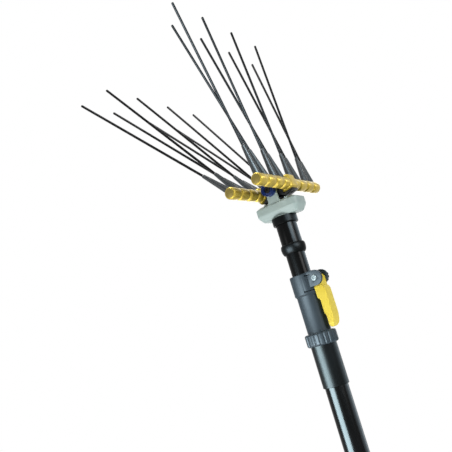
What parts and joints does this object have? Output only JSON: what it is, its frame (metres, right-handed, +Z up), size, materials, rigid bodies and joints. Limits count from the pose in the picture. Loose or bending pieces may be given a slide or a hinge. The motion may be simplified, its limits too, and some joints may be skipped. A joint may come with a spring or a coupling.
{
  "type": "electric olive harvester",
  "caption": "Telescopic pole olive harvester with a cam-lever clamp, a motor-driven crank head and two gold comb bars whose long thin tines rock against each other to shake fruit loose.",
  "frame": {"origin": "centre of the lower tube's butt end, on the pole's axis", "axes": "+Z up the pole towards the combs, +X towards the clamp lever and the trigger, +Y along the comb bars"},
  "size_m": [0.265, 0.3031, 1.6714],
  "materials": {
    "gold_anodised": "gold anodised aluminium, satin",
    "tine_black": "black glass-fibre rod",
    "tine_sleeve": "dark grey rubber",
    "cast_grey": "light grey powder coat on cast aluminium",
    "bright_steel": "bright zinc-plated steel",
    "blue_plastic": "dark blue moulded plastic",
    "black_screw": "blackened steel",
    "rocker_grey": "dark grey anodised aluminium",
    "black_rubber": "black rubber",
    "black_anodised": "black anodised aluminium tube",
    "black_plastic": "black moulded plastic",
    "clamp_grey": "grey-blue moulded plastic",
    "lever_yellow": "yellow moulded plastic",
    "ring_grey": "dark grey-blue moulded plastic",
    "guide_white": "natural acetal",
    "bronze": "sintered bronze",
    "gear_steel": "hardened steel",
    "magnet_dark": "sintered ferrite",
    "copper_wound": "copper-wound laminations",
    "gasket_dark": "black gasket sheet"
  },
  "bodies": {
    "lower_pole": {"outer_tube": "black_anodised", "guide_ring": "guide_white", "butt_plug": "black_plastic", "power_inlet": "black_plastic", "inlet_contacts": "bronze", "rear_grip": "black_rubber", "switch_case_front": "black_plastic", "switch_case_rear": "black_plastic", "case_screws": "black_screw", "trigger_pin": "bright_steel", "switch_block": "black_plastic", "clamp_sleeve": "black_plastic", "union_nut": "ring_grey", "clamp_body": "clamp_grey", "lever_bolt": "bright_steel"},
    "switch_trigger": {"switch_trigger": "lever_yellow"},
    "cam_lever": {"cam_lever": "lever_yellow"},
    "clamp_shoe": {"clamp_shoe": "guide_white"},
    "thumb_nut": {"thumb_nut": "black_plastic"},
    "upper_pole": {"inner_tube": "black_anodised", "lower_guide": "guide_white", "reducer_ring": "black_plastic", "motor_tube": "black_anodised", "head_collar": "black_plastic", "motor_can": "bright_steel", "motor_cap": "black_plastic", "motor_magnets": "magnet_dark", "ring_gear": "gear_steel", "crank_bush": "bronze", "housing_base": "cast_grey", "housing_cover": "cast_grey", "cover_gasket": "gasket_dark", "cover_screws": "bright_steel", "dust_seal": "black_rubber", "front_bush": "blue_plastic", "rear_bush": "blue_plastic", "pivot_shaft": "gear_steel", "pivot_screws": "black_screw"},
    "rotor": {"rotor_core": "copper_wound", "rotor_shaft": "gear_steel", "sun_gear": "gear_steel"},
    "crankshaft": {"crankshaft": "gear_steel"},
    "planet_1": {"planet_gear_1": "gear_steel"},
    "planet_2": {"planet_gear_2": "gear_steel"},
    "planet_3": {"planet_gear_3": "gear_steel"},
    "right_comb": {"right_bar": "gold_anodised", "right_tines": "tine_black", "right_sleeves": "tine_sleeve", "right_bar_screw": "black_screw", "right_rocker": "rocker_grey", "right_rocker_bush": "bronze"},
    "left_comb": {"left_bar": "gold_anodised", "left_tines": "tine_black", "left_sleeves": "tine_sleeve", "left_bar_screw": "black_screw", "left_rocker": "rocker_grey", "left_rocker_bush": "bronze"}
  },
  "joints": [
    {"name": "pole_extend", "type": "slide", "parent": "lower_pole", "child": "upper_pole", "axis": [0, 0, 1], "range_m": [0, 0.6]},
    {"name": "right_comb_swing", "type": "hinge", "parent": "upper_pole", "child": "right_comb", "pos_m": [0, 0, 1.3455], "axis": [0, 1, 0], "range_deg": [-5.7, 5.7]},
    {"name": "left_comb_swing", "type": "hinge", "parent": "upper_pole", "child": "left_comb", "pos_m": [0, 0, 1.3455], "axis": [0, 1, 0], "range_deg": [-5.7, 5.7]},
    {"name": "crank_spin", "type": "hinge", "parent": "upper_pole", "child": "crankshaft", "pos_m": [0, 0, 1.302], "axis": [0, 0, 1], "range_deg": [-90, 90]},
    {"name": "motor_spin", "type": "hinge", "parent": "upper_pole", "child": "rotor", "pos_m": [0, 0, 1.27], "axis": [0, 0, 1], "range_deg": [-450, 450]},
    {"name": "planet_spin_1", "type": "hinge", "parent": "crankshaft", "child": "planet_1", "pos_m": [0.0075, 0, 1.2925], "axis": [0, 0, 1], "range_deg": [-240, 240]},
    {"name": "planet_spin_2", "type": "hinge", "parent": "crankshaft", "child": "planet_2", "pos_m": [-0.00375, 0.0065, 1.2925], "axis": [0, 0, 1], "range_deg": [-240, 240]},
    {"name": "planet_spin_3", "type": "hinge", "parent": "crankshaft", "child": "planet_3", "pos_m": [-0.00375, -0.0065, 1.2925], "axis": [0, 0, 1], "range_deg": [-240, 240]},
    {"name": "clamp_lever", "type": "hinge", "parent": "lower_pole", "child": "cam_lever", "pos_m": [0.0245, 0, 1.1973], "axis": [0, -1, 0], "range_deg": [0, 115]},
    {"name": "clamp_press", "type": "slide", "parent": "lower_pole", "child": "clamp_shoe", "axis": [1, 0, 0], "range_m": [0, 0.0008]},
    {"name": "thumb_nut_turn", "type": "hinge", "parent": "lower_pole", "child": "thumb_nut", "pos_m": [0.0245, 0.0146, 1.1973], "axis": [0, 1, 0], "continuous": true},
    {"name": "trigger_pull", "type": "hinge", "parent": "lower_pole", "child": "switch_trigger", "pos_m": [0.03255, 0, 0.354], "axis": [0, 1, 0], "range_deg": [0, 8], "stiffness_Nm_per_rad": 0.5, "springref_deg": -5.73}
  ],
  "couplings": [
    {"joint": "left_comb_swing", "follows": "right_comb_swing", "ratio": -1},
    {"joint": "crank_spin", "follows": "right_comb_swing", "ratio": -15.789},
    {"joint": "motor_spin", "follows": "right_comb_swing", "ratio": -78.947},
    {"joint": "planet_spin_1", "follows": "right_comb_swing", "ratio": 42.105},
    {"joint": "planet_spin_2", "follows": "right_comb_swing", "ratio": 42.105},
    {"joint": "planet_spin_3", "follows": "right_comb_swing", "ratio": 42.105},
    {"joint": "clamp_press", "follows": "clamp_lever", "m_per_rad": 0.000398}
  ]
}
